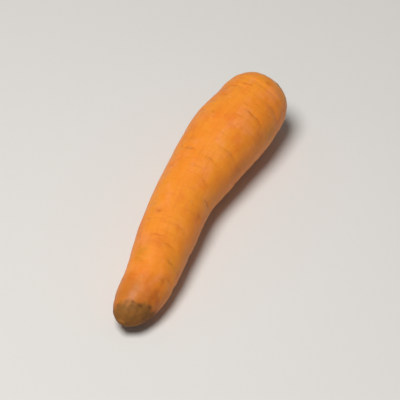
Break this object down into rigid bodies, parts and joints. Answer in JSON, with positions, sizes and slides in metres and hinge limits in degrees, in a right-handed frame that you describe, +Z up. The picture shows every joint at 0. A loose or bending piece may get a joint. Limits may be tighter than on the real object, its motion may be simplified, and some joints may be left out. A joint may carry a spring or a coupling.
{
  "type": "carrot",
  "caption": "Fresh topped carrot lying on its side: a stout, gently bent orange taproot with a blunt tip, faint cross creases, and short cut leaf stubs in a shallow hollow in its crown.",
  "frame": {"origin": "middle of the footprint's bounding box, on the surface that the carrot lies on", "axes": "+X along the root from its tip to its crown; +Z up; +Y to the left when looking from the tip to the crown"},
  "size_m": [0.159, 0.042, 0.0368],
  "materials": {
    "carrot_skin": "satin carrot skin, orange, with darker cross creases and an olive-brown tip",
    "cut_stalk": "dull olive-green stalk bases with dry tan cut faces"
  },
  "bodies": {
    "root": {"taproot": "carrot_skin", "leaf_stubs": "cut_stalk"}
  },
  "joints": []
}
